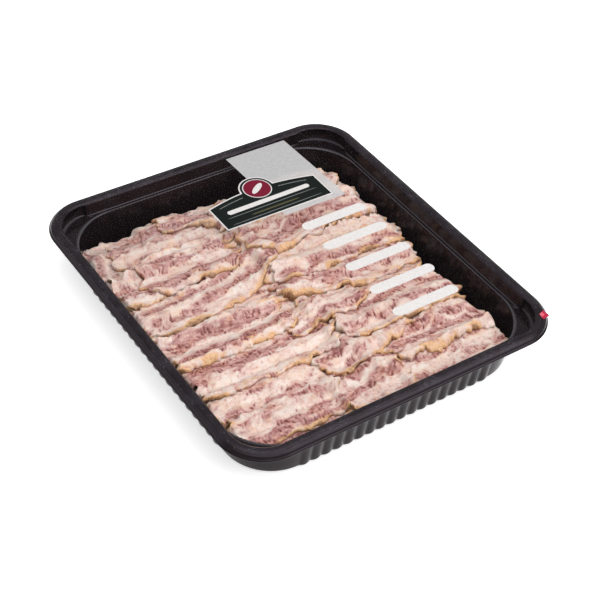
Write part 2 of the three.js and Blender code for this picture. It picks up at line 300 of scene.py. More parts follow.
dust = fine_dust()
tray_plastic, shader, surface = new_finish("tray_plastic")
coordinates = node(shader, "ShaderNodeTexCoord")
along_sheet = coordinates.outputs["UV"]
height = node(shader, "ShaderNodeSeparateXYZ", {"Vector": coordinates.outputs["Object"]}).outputs["Z"]
on_flange = fade(shader, height, FLANGE_FROM, FLANGE_TO)
marks = node(shader, "ShaderNodeGroup", node_tree=dust)
feed(shader, marks, {"Places": along_sheet, "Amount": on_flange})
clouds = lumps(shader, along_sheet, 0.9, 4.0, 0.6)
drawn = lumps(shader, stretched(shader, along_sheet, (7.0, 0.25, 1.0)), 1.0, 3.0, 0.55)
black = blend(shader, clouds, (0.0062, 0.0036, 0.0043, 1), (0.0112, 0.0076, 0.009, 1))
veil = calc(shader, "MULTIPLY", on_flange, fade(shader, clouds, 0.3, 0.7, 0.1, 0.7))
black = blend(shader, veil, black, (0.021, 0.0165, 0.0215, 1))
# Two thin pale lines along the ledge's bends: painted highlights where its edges meet the light.
for ledge_highlight in LEDGE_HIGHLIGHTS:
    above = fade(shader, height, ledge_highlight - LEDGE_HIGHLIGHT_EDGE, ledge_highlight - LEDGE_HIGHLIGHT_CORE)
    below = fade(shader, height, ledge_highlight + LEDGE_HIGHLIGHT_CORE, ledge_highlight + LEDGE_HIGHLIGHT_EDGE, 1.0, 0.0)
    black = blend(shader, calc(shader, "MULTIPLY", above, below), black, (0.055, 0.051, 0.057, 1))
black = blend(shader, marks.outputs["Scuffs"], black, (0.11, 0.105, 0.12, 1))
black = blend(shader, marks.outputs["Specks"], black, (0.24, 0.235, 0.24, 1))
gloss = calc(shader, "MULTIPLY_ADD", clouds, 0.1, 0.09)
gloss = calc(shader, "ADD", gloss, calc(shader, "MULTIPLY", marks.outputs["Scuffs"], 0.25))
gloss = calc(shader, "ADD", gloss, calc(shader, "MULTIPLY", on_flange, 0.06))
relief = calc(shader, "MULTIPLY_ADD", drawn, 0.25, calc(shader, "MULTIPLY", clouds, 0.25))
relief = calc(shader, "ADD", relief, calc(shader, "MULTIPLY", marks.outputs["Specks"], 0.4))
bump = node(shader, "ShaderNodeBump", {"Height": relief, "Strength": 0.35, "Distance": 0.0005})
feed(shader, surface, {
    "Base Color": black,
    "Roughness": gloss,
    "Normal": bump.outputs["Normal"],
    "Specular IOR Level": 0.19,
    "Specular Tint": (0.98, 0.85, 0.98, 1),
})
tray.data.materials.append(tray_plastic)
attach(tray, "root")
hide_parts("tray_floor", "tray_front_wall", "tray_right_wall", "tray_back_wall", "tray_left_wall")

# The bed of bacon
# The layers of cooked rashers that the ones on top lie on. They are stacked flat, so that their ends and
# edges show as ragged steps beside the open right and back walls, and they stand clear of the tray all round.
BED_LEFT, BED_RIGHT = -112.0, 103.5
BED_FRONT, BED_BACK = -125.5, 111.0
BED_CORNER = 34.0
BED_LAYERS = 7
BED_POINTS = 520
BED_FLOOR = 1.3
BED_HEIGHT = 17.2
BED_FALL = 4.0
LAYER_PROFILE = ((0.04, 1.5), (0.2, 0.25), (0.5, 0.0), (0.8, 0.25), (0.96, 1.5))
CROWN_STEPS = (0.95, 0.88, 0.8, 0.7, 0.58, 0.45, 0.3, 0.15, 0.03)


def rumple(x, y, size, seed, waves=10):
    """A smooth seeded unevenness, mostly between -1 and 1, with lumps about that many millimetres across."""
    chance = np.random.default_rng(seed)
    total = 0.0
    for _ in range(waves):
        heading = chance.uniform(0, 2 * math.pi)
        pace = math.pi / (size * chance.uniform(0.7, 1.7))
        start = chance.uniform(0, 2 * math.pi)
        total = total + np.sin((x * math.cos(heading) + y * math.sin(heading)) * pace + start)
    return total / math.sqrt(waves)


def bed_top(x, y):
    """The height of the bed, which falls away towards the open right and back walls."""
    to_right = np.clip((x - 104) / 40 + 0.85, 0, None)
    to_back = np.clip((y - 110) / 40 + 0.8, 0, None)
    level = BED_HEIGHT - BED_FALL * (np.minimum(1, to_right**2) + np.minimum(1, to_back**2))
    return level + 0.5 * rumple(x, y, 16, 140)


def rounded_outline(left, right, front, back, corner, count):
    """Evenly spaced places round a rectangle with round corners, counter-clockwise."""
    path = []
    for side, (x, y) in enumerate([(right, back), (left, back), (left, front), (right, front)]):
        centre_x = x - math.copysign(corner, x - (left + right) / 2)
        centre_y = y - math.copysign(corner, y - (front + back) / 2)
        for bend in np.linspace(0, math.pi / 2, 17):
            turn = side * math.pi / 2 + bend
            path.append((centre_x + corner * math.cos(turn), centre_y + corner * math.sin(turn)))
    return along_path(path + [path[0]], count)


bed_edge = rounded_outline(BED_LEFT, BED_RIGHT, BED_FRONT, BED_BACK, BED_CORNER, BED_POINTS)
bed_middle = np.array([(BED_LEFT + BED_RIGHT) / 2, (BED_FRONT + BED_BACK) / 2])
outward = np.roll(bed_edge, -1, axis=0) - np.roll(bed_edge, 1, axis=0)
outward = np.stack([outward[:, 1], -outward[:, 0]], axis=1) / np.linalg.norm(outward, axis=1)[:, None]
open_side = np.clip((bed_edge[:, 0] - 70) / 30, 0, 1) + np.clip((bed_edge[:, 1] - 80) / 30, 0, 1)
ragged = 0.35 + np.minimum(1, open_side)
bed_rings = []
for layer in range(BED_LAYERS):
    layer_edge = 1.7 * rumple(*bed_edge.T, 13, 100 + layer) + 0.7 * rumple(*bed_edge.T, 4, 120 + layer) - 1.6
    for part, tuck in LAYER_PROFILE:
        level = (layer + part) / BED_LAYERS
        edge = bed_edge + outward * (ragged * layer_edge - tuck)[:, None]
        z = BED_FLOOR + (bed_top(*edge.T) - BED_FLOOR) * level + 0.25 * rumple(*edge.T, 7, 160 + layer)
        bed_rings.append(np.column_stack([edge, np.maximum(z, BED_FLOOR)]))
for shrink in CROWN_STEPS:
    edge = bed_middle + (bed_edge - 3 * outward - bed_middle) * shrink
    bed_rings.append(np.column_stack([edge, bed_top(*edge.T)]))
bed = skin("bacon_bed", bed_rings)


def marble(mesh, lean, rind, dimmed, furrow):
    """Notes at each point of a mesh how lean and browned the bacon is, how far it is dimmed as painted shade,
    and how deep in a furrow.
    """
    for name, values in (("lean", lean), ("rind", rind), ("dimmed", dimmed), ("furrow", furrow)):
        noted = mesh.attributes.new(name, "FLOAT", "POINT")
        noted.data.foreach_set("value", np.asarray(values, dtype=np.float32))


def points_of(mesh):
    """The mesh's vertices as rows of x, y and z."""
    places = np.empty(len(mesh.vertices) * 3)
    mesh.vertices.foreach_get("co", places)
    return places.reshape(-1, 3)


bed_x, bed_y, bed_z = (points_of(bed.data) / MM).T
bed_lean = 0.5 + 0.55 * rumple(bed_x + bed_z * 9, bed_y - bed_z * 9, 11, 7)
bed_rind = 0.35 + 0.5 * rumple(bed_x, bed_y, 9, 8)
# Its furrow value is the same everywhere, so the bacon's painted furrow shade darkens the whole bed evenly.
marble(bed.data, bed_lean, bed_rind, np.zeros(len(bed_x)), np.full(len(bed_x), 0.4))


def swing(tree, noise, amount, base):
    """The base value, raised where the noise is above its middle and lowered where it is below."""
    return calc(tree, "MULTIPLY_ADD", calc(tree, "SUBTRACT", noise, 0.5), amount, base)


cooked_bacon, shader, surface = new_finish("cooked_bacon")
places = node(shader, "ShaderNodeTexCoord").outputs["UV"]
lean, rind, dimmed, furrow = (
    node(shader, "ShaderNodeAttribute", attribute_name=name).outputs["Fac"]
    for name in ("lean", "rind", "dimmed", "furrow")
)
along_grain = stretched(shader, places, (0.45, 1.3, 1.0))
across_grain = stretched(shader, places, (1.5, 0.75, 1.0))
broad = lumps(shader, along_grain, 0.9, 3.0, 0.55, 0.4)
middling = lumps(shader, along_grain, 3.0, 4.0, 0.6, 0.8)
fine = lumps(shader, places, 8.0, 4.0, 0.65)
ribs = lumps(shader, across_grain, 2.5, 3.0, 0.55, 1.0)
creased = lumps(shader, across_grain, 1.7, 3.0, 0.5, 1.4)
warmth = lumps(shader, places, 0.8, 2.0, 0.5)
bruised = lumps(shader, along_grain, 1.3, 3.0, 0.5)
pore_places = stretched(shader, places, (1.0, 0.8, 1.0))
pores = node(shader, "ShaderNodeTexVoronoi", {"Vector": pore_places, "Scale": 3.0})
chance = node(shader, "ShaderNodeSeparateColor", {"Color": pores.outputs["Color"]}).outputs["Green"]
pits = fade(shader, pores.outputs["Distance"], 0.08, 0.34, 1.0, 0.0)
pits = calc(shader, "MULTIPLY", pits, calc(shader, "GREATER_THAN", chance, 0.45))

leanness = lean
for noise, share in ((broad, 0.7), (middling, 0.5), (ribs, 0.4), (fine, 0.12)):
    leanness = calc(shader, "MULTIPLY_ADD", noise, share, leanness)
is_lean = fade(shader, leanness, 1.4, 1.58)
is_pink = fade(shader, leanness, 0.98, 1.36)

tone = calc(shader, "MULTIPLY_ADD", is_pink, -0.2, 0.89)
tone = calc(shader, "MULTIPLY_ADD", is_lean, -0.25, tone)
for noise, share in ((broad, 0.6), (middling, 1.0), (fine, 0.5)):
    tone = swing(shader, noise, share, tone)
tone = swing(shader, ribs, calc(shader, "MULTIPLY_ADD", is_pink, 0.35, 0.25), tone)
# Pits and furrows lower the tone: painted shade in the dimples of the bump and in the furrows of the mesh.
tone = calc(shader, "MULTIPLY_ADD", pits, -0.26, tone)
furrow_shade = calc(shader, "MULTIPLY", furrow, calc(shader, "MULTIPLY_ADD", is_pink, 0.24, 0.3))
tone = calc(shader, "SUBTRACT", tone, furrow_shade)
fleshes = node(shader, "ShaderNodeValToRGB", {"Fac": tone})
# From the darkest lean to the palest fat
FLESH_TONES = [
    (0.0, (0.2, 0.058, 0.046, 1)),
    (0.2, (0.335, 0.137, 0.122, 1)),
    (0.38, (0.462, 0.235, 0.215, 1)),
    (0.55, (0.575, 0.358, 0.32, 1)),
    (0.72, (0.65, 0.465, 0.408, 1)),
    (0.88, (0.70, 0.56, 0.50, 1)),
    (1.0, (0.735, 0.63, 0.575, 1)),
]
for stop, colour in FLESH_TONES[1:-1]:
    fleshes.color_ramp.elements.new(stop).color = colour
fleshes.color_ramp.elements[0].color = FLESH_TONES[0][1]
fleshes.color_ramp.elements[-1].color = FLESH_TONES[-1][1]
flesh = fleshes.outputs["Color"]
flesh = blend(shader, fade(shader, warmth, 0.48, 0.66), flesh, (1.0, 0.93, 0.86, 1), "MULTIPLY")
darkened = calc(shader, "MULTIPLY", fade(shader, bruised, 0.54, 0.66), is_pink)
flesh = blend(shader, darkened, flesh, (0.8, 0.68, 0.72, 1), "MULTIPLY")
browning = swing(shader, middling, 1.1, rind)
browning = swing(shader, fine, 0.6, browning)
flesh = blend(shader, fade(shader, browning, 0.14, 0.55), flesh, (1.0, 0.86, 0.7, 1), "MULTIPLY")
tan = blend(shader, fade(shader, fine, 0.35, 0.65), (0.57, 0.31, 0.14, 1), (0.74, 0.47, 0.25, 1))
flesh = blend(shader, fade(shader, browning, 0.36, 0.7, 0.0, 0.9), flesh, tan)
scorched = swing(shader, ribs, 1.6, browning)
flesh = blend(shader, fade(shader, scorched, 1.0, 1.35, 0.0, 0.65), flesh, (0.17, 0.07, 0.03, 1))
# The dimmed share is blended to a dull grey brown: painted shade, deepest on the rashers at the back, where
# less light falls.
flesh = blend(shader, dimmed, flesh, (0.35, 0.28, 0.26, 1))
specks = fade(shader, lumps(shader, across_grain, 8.0, 2.0, 0.5), 0.64, 0.72, 0.0, 0.45)
flesh = blend(shader, specks, flesh, (0.24, 0.11, 0.075, 1))

moist = calc(shader, "MULTIPLY_ADD", fade(shader, creased, 0.4, 0.65), 0.22, 0.34)
relief = calc(shader, "MULTIPLY", ribs, calc(shader, "MULTIPLY_ADD", is_pink, 0.9, 0.5))
for shape, share in ((creased, 0.6), (fine, 0.25), (pits, -0.35)):
    relief = calc(shader, "MULTIPLY_ADD", shape, share, relief)
relief = calc(shader, "SUBTRACT", relief, calc(shader, "MULTIPLY", is_lean, 0.2))
bump = node(shader, "ShaderNodeBump", {"Height": relief, "Strength": 0.7, "Distance": 0.0011})
feed(shader, surface, {
    "Base Color": flesh,
    "Roughness": moist,
    "Normal": bump.outputs["Normal"],
    "Subsurface Weight": 0.25,
    "Subsurface Radius": (1.0, 0.35, 0.22),
    "Subsurface Scale": 0.002,
    "Specular IOR Level": 0.45,
})
bed.data.materials.append(cooked_bacon)
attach(bed, "root")
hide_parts("rasher_bed")

# The rashers
# Thin slices of cooked streaky belly, each with a browned rind edge, and cream fat and mauve lean in streaks.
# They are laid from the front to the back, each over the back edge of the ones before it.
GROUND_STEP = 1.25
THICKNESS = 1.9
CELL = 0.65
CELL_SPREAD = 1.2
REST_GAP = 0.15
EDGE_PRESS = 0.6
EDGE_LIFT = 0.6
END_CURL = 1.4
TICK_PITCH = 3.5
FURROW_DEPTH = 0.7
LAY_HEIGHT = 22.0

# The tray's leaning wall, which the rashers stay inside
WALL_FOOT = 3.2
WALL_FOOT_INSET = 15.6
WALL_LEAN = 0.13
WALL_CORNER = 38.0
SIDE_GAP = 0.8

# From the lowest to the highest: left end, right end, width, bow to the back, dimming (a painted shade,
# strongest on the rashers at the back), and the streaks from the front edge to the back one, as r for browned
# rind, f for fat, p for pink marbling and l for lean
RASHERS = [
    (58, 30, 114, 34, 30, 0, 0.05, "frpflfrfpfrf"),
    (55, 55, 111, 58, 30, 2, 0.05, "rfpflfrfpfrf"),
    (50, 82, 113, 84, 28, -2, 0.1, "frpflfffpfrf"),
    (40, 98, 110, 99, 26, 3, 0.1, "frpflfrfpfrr"),
    (38, 109, 102, 113, 20, 3, 0.1, "frpfrfrfpfrr"),
    (-68, 110, -30, 113, 18, 3, 0.2, "frpflfrfpfrf"),
    (-105, -121, -36, -119, 18, 0, 0.0, "rlpllllfffff"),
    (14, -116, 107, -113, 32, -2, 0.0, "rrplppffflpf"),
    (-36, -110, 20, -112, 38, 0, 0.0, "fpffflllffll"),
    (22, -92, 108, -90, 36, 3, 0.0, "ffflllflllfr"),
    (-118, -84, -28, -82, 36, 0, 0.0, "flllpffprpff"),
    (-116, -109, -31, -107, 32, 0, 0.0, "rllllffpppff"),
    (-30, -85, 48, -66, 30, 2, 0.0, "rfppffplllff"),
    (3, -56, 110, -53, 38, 4, 0.0, "rffplpfflllf"),
    (-118, -54, -4, -54, 40, 2, 0.0, "rfffffllllpf"),
    (-30, -36, 40, -28, 26, 0, 0.0, "fpllffpflpff"),
    (-118, -21, -17, -19, 38, 0, 0.0, "fflllfflllpf"),
    (-13, 10, 110, -5, 38, -5, 0.0, "rfplllpfllff"),
    (-6, 24, 112, 21, 36, 0, 0.0, "fllpffffrfff"),
    (-118, 17, 8, 44, 36, -9, 0.05, "rffllpffllpf"),
    (-109, 112, -111, 60, 36, 0, 0.28, "fffplfplffff"),
    (-102, 84, -6, 80, 36, 16, 0.25, "llpfflplllpf"),
    (-52, 110, 0, 94, 30, 5, 0.2, "fpplllplfrrf"),
    (-12, 90, 101, 93, 38, 3, 0.15, "fpffllffplff"),
    (-118, 50, -84, 52, 34, 0, 0.1, "fffllpllffpf"),
    (-95, 58, -16, 56, 42, 4, 0.08, "rlllfffllppf"),
    (-8, 55, 107, 57, 38, 2, 0.05, "rffplllpflpf"),
]

LEANNESS = {"r": 0.1, "f": 0.0, "p": 0.42, "l": 0.85}
BROWNNESS = {"r": 0.7, "f": 0.0, "p": 0.0, "l": 0.0}

# The height of what lies in the tray so far, over a grid of places
ground_x = np.arange(-137.5, 138, GROUND_STEP)
ground_y = np.arange(-150, 151, GROUND_STEP)
grid_x, grid_y = np.meshgrid(ground_x, ground_y, indexing="ij")
ground = bed_top(grid_x, grid_y)


def spread(heights, cells):
    """Each height raised to the highest within that many cells of it."""
    for _ in range(cells):
        for axis in (0, 1):
            heights = np.maximum(heights, np.maximum(np.roll(heights, 1, axis), np.roll(heights, -1, axis)))
    return heights


def slack(heights, passes):
    """The heights softened with their neighbours that many times."""
    for _ in range(passes):
        for axis in (0, 1):
            heights = 0.5 * heights + 0.25 * (np.roll(heights, 1, axis) + np.roll(heights, -1, axis))
    return heights


def height_at(heights, x, y):
    """The height at any place, between the four nearest cells."""
    i = np.clip((x - ground_x[0]) / GROUND_STEP, 0, len(ground_x) - 1.001)
    j = np.clip((y - ground_y[0]) / GROUND_STEP, 0, len(ground_y) - 1.001)
    i0, j0 = i.astype(int), j.astype(int)
    u, v = i - i0, j - j0
    front = heights[i0, j0] * (1 - u) + heights[i0 + 1, j0] * u
    back = heights[i0, j0 + 1] * (1 - u) + heights[i0 + 1, j0 + 1] * u
    return front * (1 - v) + back * v


def within_tray(x, y, z):
    """A place moved in, if it must be, so that it stays clear of the tray's leaning wall at that height."""
    inset = WALL_FOOT_INSET - (z - WALL_FOOT) * WALL_LEAN
    half_x, half_y, corner = HALF_X - inset - SIDE_GAP, HALF_Y - inset, WALL_CORNER
    x = np.clip(x, -half_x, half_x)
    y = np.clip(y, -half_y, half_y)
    past_x = np.maximum(0, np.abs(x) - (half_x - corner))
    past_y = np.maximum(0, np.abs(y) - (half_y - corner))
    past = np.hypot(past_x, past_y)
    pull = np.where(past > corner, corner / np.maximum(past, 1e-6), 1.0)
    x = np.sign(x) * (np.abs(x) - past_x * (1 - pull))
    y = np.sign(y) * (np.abs(y) - past_y * (1 - pull))
    return x, y


def streak_at(streaks, across, letter_values):
    """The streak's value at each place across a rasher, which is -1 at its front edge and 1 at its back."""
    values = np.array([letter_values[letter] for letter in streaks])
    middles = (np.arange(len(values)) + 0.5) / len(values) * 2 - 1
    return np.interp(across, middles, values)


def lay_rasher(name, seed, cell, x0, y0, x1, y1, width, bow, dimming, streaks):
    """Makes a rasher, lays it over what is already in the tray and raises the ground by it."""
    global ground
    length = math.hypot(x1 - x0, y1 - y0)
    heading = np.array([(x1 - x0) / length, (y1 - y0) / length])
    middle = np.array([(x0 + x1) / 2, (y0 + y1) / 2])
    lying = np.maximum(slack(spread(ground, 1), 4), ground + REST_GAP)
    draped = np.maximum(slack(spread(ground, 1), 2), ground + REST_GAP)

    def meatiness(along, across):
        """How lean the slice is at a place: its streaks wander, swell and break along it."""
        far, wide = along * length / 2, across * width / 2
        wander = across + 0.17 * rumple(far, wide, 24, seed + 7) + 0.08 * rumple(far, wide, 7, seed + 8)
        streak = streak_at(streaks, wander, LEANNESS)
        streak = streak + 0.28 * rumple(far, wide * 2.2, 13, seed + 9)
        streak = streak + 0.18 * rumple(far, wide * 1.6, 4.5, seed + 10)
        tip = np.abs(along) ** 12 * (0.5 + 0.5 * rumple(wide, along, 12, seed + 11))
        return streak - 0.6 * tip

    def furrows(along, across):
        """The short furrows across the grain that the lean has drawn itself into, and the pits in the fat."""
        far, wide = along * length / 2, across * width / 2
        far = far + 1.4 * rumple(far, wide, 8, seed + 2)
        dips = np.clip(rumple(far, wide * 0.5, 1.3, seed + 3, 16) - 0.1, 0, 1.6)
        patches = np.clip(0.6 + 0.6 * rumple(far, wide * 1.4, 6, seed + 4), 0, 1)
        ticks = np.clip(np.sin(2 * np.pi * far / TICK_PITCH + 2.6 * rumple(far, wide, 5, seed + 19)), 0, 1)
        ticks = ticks * np.clip(0.8 + 0.7 * rumple(far, wide, 3.4, seed + 21), 0, 1.3)
        rows = np.clip(1.6 * rumple(far * 0.25, wide, 2.7, seed + 20) - 0.2, 0, 1.2)
        pits = np.clip(rumple(far, wide * 0.8, 1.7, seed + 12, 16) - 0.85, 0, 1)
        meaty = np.clip(meatiness(along, across) * 1.6, 0, 1)
        dimpled = 0.7 * dips * patches * (0.2 + 0.8 * meaty)
        ribbed = 1.1 * ticks * rows * (0.55 + 0.45 * meaty)
        return dimpled + ribbed + 0.9 * pits

    def lift(along, across):
        """How far the slice stands off what it lies on, where it has cockled and curled in the heat."""
        far, wide = along * length / 2, across * width / 2
        frill = 0.5 + 0.5 * rumple(far, wide * 0.3, 6.0, seed)
        edge = EDGE_LIFT * np.abs(across) ** 3.5 * np.clip(frill, 0, None)
        curl = END_CURL * np.clip(np.abs(along), 0, 1) ** 13
        curl = curl * (0.6 + 0.5 * rumple(wide, along * 40, 8, seed + 13))
        sway = 0.55 * rumple(far, wide, 15, seed + 1) + 0.15
        sway = sway * (1 - 0.6 * np.clip(np.abs(across), 0, 1) ** 3)
        return np.maximum(0, edge + curl + sway)

    def body(along, across):
        """The slice's thickness, which is puffed in the fat, furrowed in the lean and beaded at its edges."""
        far, wide = along * length / 2, across * width / 2
        puff = 0.4 * (1 - np.clip(meatiness(along, across), 0, 1)) + 0.28 * rumple(far, wide, 5.5, seed + 5)
        bead = 0.45 * np.exp(-(((np.abs(across) - 0.92) / 0.06) ** 2))
        bead = bead * (0.5 + 0.5 * rumple(far, wide, 9, seed + 14))
        return THICKNESS + puff + bead - FURROW_DEPTH * furrows(along, across)

    bm = bmesh.new()
    cells = {"x_segments": round(length / cell), "y_segments": round(width / cell / CELL_SPREAD)}
    bmesh.ops.create_grid(bm, size=1.0, **cells)
    bmesh.ops.solidify(bm, geom=bm.faces[:], thickness=0.1)
    bmesh.ops.recalc_face_normals(bm, faces=bm.faces)
    piece = new_piece(name, bm)
    mesh = piece.data
    flat = points_of(mesh)
    along, across = flat[:, 0], flat[:, 1]
    upper = flat[:, 2] > flat[:, 2].mean()

    at_end = np.abs(along) ** 6
    rounding = 4.0 + 3.0 * np.clip(rumple(np.sign(along) * 80, np.sign(across) * 50, 40, seed + 15), -1, 1)
    rag = 2.6 * rumple(across * width / 2, np.sign(along) * 50, 4.5, seed + 4)
    rag = rag + 1.2 * rumple(across * width / 2, np.sign(along) * 50, 1.8, seed + 16)
    forward = along * length / 2 - np.sign(along) * at_end * (rag + rounding * np.abs(across) ** 3)
    nick = 1.6 * rumple(forward, np.sign(across) * 60, 9, seed + 5)
    nick = nick + 0.85 * rumple(forward, across, 3.0, seed + 6)
    side = across * width / 2 * (1 - 0.1 * at_end) + across * np.abs(across) ** 3 * nick
    side = side + bow * (1 - along**2) + 1.1 * rumple(forward, 0 * forward, 26, seed + 18)
    x = middle[0] + forward * heading[0] - side * heading[1]
    y = middle[1] + forward * heading[1] + side * heading[0]
    x, y = within_tray(x, y, LAY_HEIGHT)
    edge = np.maximum(np.abs(across) ** 14, np.abs(along) ** 40)
    thick = body(along, across)
    droop = np.maximum(np.abs(across) ** 3, np.abs(along) ** 12)
    touching = height_at(draped, x, y)
    z = height_at(lying, x, y) * (1 - droop) + touching * droop + lift(along, across)
    pressed = height_at(ground, x, y) - EDGE_PRESS
    z = np.where(upper, z + thick * (1 - 0.5 * edge), z * (1 - edge) + np.minimum(z, pressed) * edge)
    mesh.vertices.foreach_set("co", (np.column_stack([x, y, z]) * MM).ravel())
    mesh.update()
    mesh.shade_smooth()

    corners = np.empty(len(mesh.loops), dtype=np.int32)
    mesh.loops.foreach_get("vertex_index", corners)
    flat_map = np.column_stack([forward / MM_PER_CM + seed * 1.37, side / MM_PER_CM + seed * 0.53])
    mesh.uv_layers.new(name="surface").data.foreach_set("uv", flat_map[corners].ravel())
    near_front = np.clip((-across - 0.45) / 0.55, 0, 1)
    near_end = np.clip((np.abs(along) - 0.86) / 0.14, 0, 1)
    toasting = 0.5 + 0.6 * rumple(forward, side, 12, seed + 6) + 0.2 * rumple(forward, side, 3, seed + 17)
    golden = (0.2 + 0.8 * across**2) * np.clip(rumple(forward * 0.45, side * 1.5, 6, seed + 22) - 0.6, 0, 0.7)
    browned = near_front**2.2 * toasting + 0.6 * near_end**2 * toasting + 0.16 * edge + golden
    browned = np.maximum(browned, 0.75 * streak_at(streaks, across, BROWNNESS) * toasting)
    marble(mesh, meatiness(along, across), browned, np.full(len(flat), dimming), furrows(along, across))
    mesh.materials.append(cooked_bacon)
    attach(piece, "root")

    far = (grid_x - middle[0]) * heading[0] + (grid_y - middle[1]) * heading[1]
    wide = (grid_y - middle[1]) * heading[0] - (grid_x - middle[0]) * heading[1]
    cell_along = far / (length / 2)
    cell_across = (wide - bow * (1 - np.clip(cell_along, -1, 1) ** 2)) / (width / 2)
    covered = (np.abs(cell_along) < 1) & (np.abs(cell_across) < 1)
    top = lift(cell_along[covered], cell_across[covered]) + body(cell_along[covered], cell_across[covered])
    ground = ground.copy()
    ground[covered] = np.maximum(ground[covered], lying[covered] + top)
    return piece


# The slices of the bed's top layer lie two to a row, and show only in the gaps between the rest.
UNDER_CELL = 1.2
UNDER_ROWS = range(-112, 108, 24)
UNDER_WIDTH = 31
UNDER_DIMMING = 0.05
UNDER_STREAKS = ["rfplfflpfllf", "rlpflffpplff", "rpffllpfflpf", "fflplffplfrf", "rlfpflpfflpf"]

for row, row_y in enumerate(UNDER_ROWS):
    slant = 3 * math.sin(row * 2.1)
    bow = 2 * math.cos(row)
    spans = [(-116, 2 + 9 * (row % 2)), (-7 + 8 * (row % 2), 107 - 2.5 * (row % 3))]
    for half, (start_x, end_x) in enumerate(spans):
        number = row * 2 + half
        streaks = UNDER_STREAKS[number % len(UNDER_STREAKS)]
        place = (start_x, row_y - slant, end_x, row_y + slant, UNDER_WIDTH, bow, UNDER_DIMMING, streaks)
        under = lay_rasher(f"under_rasher_{number + 1:02d}", 3000 + number * 20, UNDER_CELL, *place)
        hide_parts("rasher_bed")

for number, rasher in enumerate(RASHERS, start=1):
    top_rasher = lay_rasher(f"rasher_{number:02d}_slice", 1000 + number * 20, CELL, *rasher)
    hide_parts(f"rasher_{number:02d}")

# The lidding film
# A clear film, drawn tight and heat sealed round the flange, a little short of the lip.
# It is thin enough that only a faint haze and a few scuffs show that it is there.
FILM_INSET = 1.0
FLANGE_CORNER = 31.6
FILM_BOTTOM = 42.12
FILM_TOP = 42.3


def plate(name, outline, bottom, top):
    """A thin flat plate with that outline: a filled circle is moved onto it, then extruded."""
    bm = bmesh.new()
    circle = bmesh.ops.create_circle(bm, cap_ends=True, segments=len(outline), radius=1.0)["verts"]
    for v, (x, y) in zip(circle, outline):
        v.co = Vector((x, y, bottom)) * MM
    raised = bmesh.ops.extrude_face_region(bm, geom=bm.faces[:])["geom"]
    raised = [v for v in raised if isinstance(v, bmesh.types.BMVert)]
    bmesh.ops.translate(bm, verts=raised, vec=(0, 0, (top - bottom) * MM))
    bmesh.ops.recalc_face_normals(bm, faces=bm.faces)
    piece = new_piece(name, bm)
    piece.visible_shadow = False
    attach(piece, "root")
    return piece


def in_centimetres(tree):
    """The places on a piece, in centimetres."""
    return stretched(tree, node(tree, "ShaderNodeTexCoord").outputs["Object"], (100, 100, 100))


film_outline = tray_ring(FILM_INSET, 0.0, FLANGE_CORNER - FILM_INSET, 0.0, 0.0, 0.0)[::3, :2]
film = plate("film_sheet", film_outline, FILM_BOTTOM, FILM_TOP)
clear_film, shader, surface = new_finish("clear_film")
places = in_centimetres(shader)
marks = node(shader, "ShaderNodeGroup", node_tree=dust)
feed(shader, marks, {"Places": places, "Amount": 0.5})
slack_film = lumps(shader, places, 0.25, 2.0, 0.4)
haze = calc(shader, "MULTIPLY_ADD", slack_film, 0.0015, 0.0002)
haze = calc(shader, "ADD", haze, calc(shader, "MULTIPLY", marks.outputs["Scuffs"], 0.012))
tint = blend(shader, slack_film, (0.86, 0.88, 0.9, 1), (0.95, 0.95, 0.95, 1))
bump = node(shader, "ShaderNodeBump", {"Height": slack_film, "Strength": 0.2, "Distance": 0.001})
feed(shader, surface, {
    "Base Color": tint,
    "Alpha": haze,
    "Normal": bump.outputs["Normal"],
    "Roughness": 0.1,
    "Specular IOR Level": 0.2,
})
film.data.materials.append(clear_film)
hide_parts("film")

# The print
# Flat colours printed on the film: a translucent white band that runs in from the back, a dark arched panel
# with a white border and a round badge, and five plain round-ended bars. Each colour is a layer on a level of
# its own, a hair above the one below. The fields are bare or carry simple shapes only.
PRINT_STEP = 0.055
INK_GAP = 0.02
INK_THICKNESS = 0.03
BAND = [(25.2, 134.6), (28.0, 52.2), (83.1, 51.4), (79.7, 134.0)]
PANEL_LEFT, PANEL_RIGHT = -20.2, 74.8
PANEL_FRONT_LEFT, PANEL_FRONT_RIGHT = 57.8, 56.8
PANEL_SHOULDER_LEFT, PANEL_SHOULDER_RIGHT = 86.4, 84.3
PANEL_ARCH = 6.6
BADGE = (26.4, 90.6)
BADGE_RADIUS = 14.6
BADGE_RING = 11.6
BADGE_FIELD = 10.8
LINES_MIDDLE = 27.2
ARC_DROP = 5.2
ARC_WIDTH = 0.6
BAR_LENGTH = 57.0
BAR_WIDTH = 9.0
BORDER = 1.1


def ink(name, colour, alpha, roughness=0.35):
    """A printed colour, slightly uneven as ink on film is."""
    material, tree, inked = new_finish(name)
    mottle = lumps(tree, in_centimetres(tree), 5.0, 4.0, 0.6)
    lighter = tuple(min(1.0, value * 1.12 + 0.004) for value in colour) + (1,)
    darker = tuple(value * 0.9 for value in colour) + (1,)
    feed(tree, inked, {
        "Base Color": blend(tree, mottle, darker, lighter),
        "Roughness": fade(tree, mottle, 0.2, 0.8, roughness - 0.06, roughness + 0.08),
        "Specular IOR Level": 0.12,
    })
    if alpha < 1:
        feed(tree, inked, {"Alpha": fade(tree, mottle, 0.2, 0.8, alpha - 0.03, alpha + 0.03)})
    return material


def printed(name, outline, level, material):
    """One printed field on its level above the film."""
    bottom = FILM_TOP + INK_GAP + level * PRINT_STEP
    piece = plate(name, outline, bottom, bottom + INK_THICKNESS)
    piece.data.materials.append(material)
    return piece


def disc(centre, radius, count=96):
    """The outline of a disc."""
    turns = np.linspace(0, 2 * math.pi, count, endpoint=False)
    return np.stack([centre[0] + radius * np.cos(turns), centre[1] + radius * np.sin(turns)], axis=1)


